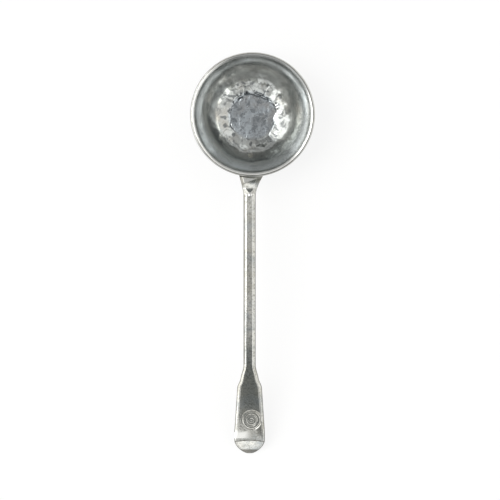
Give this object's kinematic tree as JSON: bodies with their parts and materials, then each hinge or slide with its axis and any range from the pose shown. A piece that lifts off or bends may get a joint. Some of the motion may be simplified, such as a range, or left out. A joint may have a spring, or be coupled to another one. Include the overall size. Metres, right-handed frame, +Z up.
{
  "type": "soup ladle",
  "caption": "Pewter soup ladle: a round, flat-based bowl with a band under its lip, and a long arched handle with a fiddle-shaped end.",
  "frame": {"origin": "centre of the bowl's flat base, on the surface that the ladle lies on", "axes": "+Z up through the mouth of the bowl, handle towards -Y, +X to the right when the handle points towards the viewer"},
  "size_m": [0.0996, 0.3211, 0.0397],
  "materials": {
    "pewter_bowl": "satin pewter, hammered floor",
    "pewter_handle": "hand-polished pewter with fine scratches",
    "solder": "filed solder"
  },
  "bodies": {
    "root": {"bowl": "pewter_bowl", "rim_band": "pewter_bowl", "handle": "pewter_handle", "drop": "pewter_handle", "solder_bead": "solder"}
  },
  "joints": []
}
